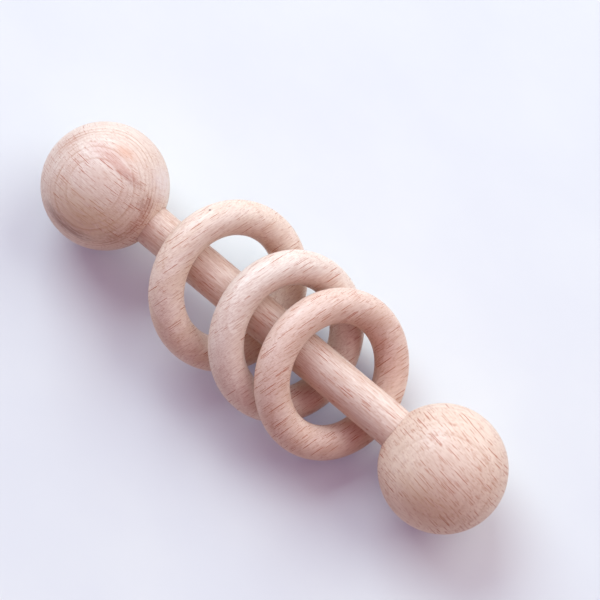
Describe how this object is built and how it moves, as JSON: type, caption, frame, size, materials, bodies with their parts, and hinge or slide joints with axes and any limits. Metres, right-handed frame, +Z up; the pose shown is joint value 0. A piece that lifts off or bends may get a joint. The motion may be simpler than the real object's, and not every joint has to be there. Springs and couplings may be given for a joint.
{
  "type": "wooden rattle",
  "caption": "Baby's wooden dumbbell rattle: a turned rod with a ball glued on each end and loose round rings threaded on the rod, lying on a table.",
  "frame": {"origin": "on the table, under the middle of the rod", "axes": "+X along the rod from the left ball to the right ball, +Z up from the table the rattle lies on, +Y to the back"},
  "size_m": [0.1674, 0.0524, 0.0381],
  "materials": {
    "rod_beech": "bare beech, sanded smooth, grain along the rod",
    "ball_beech": "bare beech, turned and sanded smooth",
    "ring_beech": "bare beech, turned and sanded smooth, grain across the ring"
  },
  "bodies": {
    "bar": {"rod": "rod_beech", "ball_left": "ball_beech", "ball_right": "ball_beech"},
    "left_ring": {"ring_left": "ring_beech"},
    "middle_ring": {"ring_middle": "ring_beech"},
    "right_ring": {"ring_right": "ring_beech"}
  },
  "joints": [
    {"name": "left_ring_slide", "type": "slide", "parent": "bar", "child": "left_ring", "axis": [1, 0, 0], "range_m": [-0.0092, 0.0014]},
    {"name": "middle_ring_slide", "type": "slide", "parent": "bar", "child": "middle_ring", "axis": [1, 0, 0], "range_m": [-0.0026, 0]},
    {"name": "right_ring_slide", "type": "slide", "parent": "bar", "child": "right_ring", "axis": [1, 0, 0], "range_m": [0, 0.0055]}
  ]
}
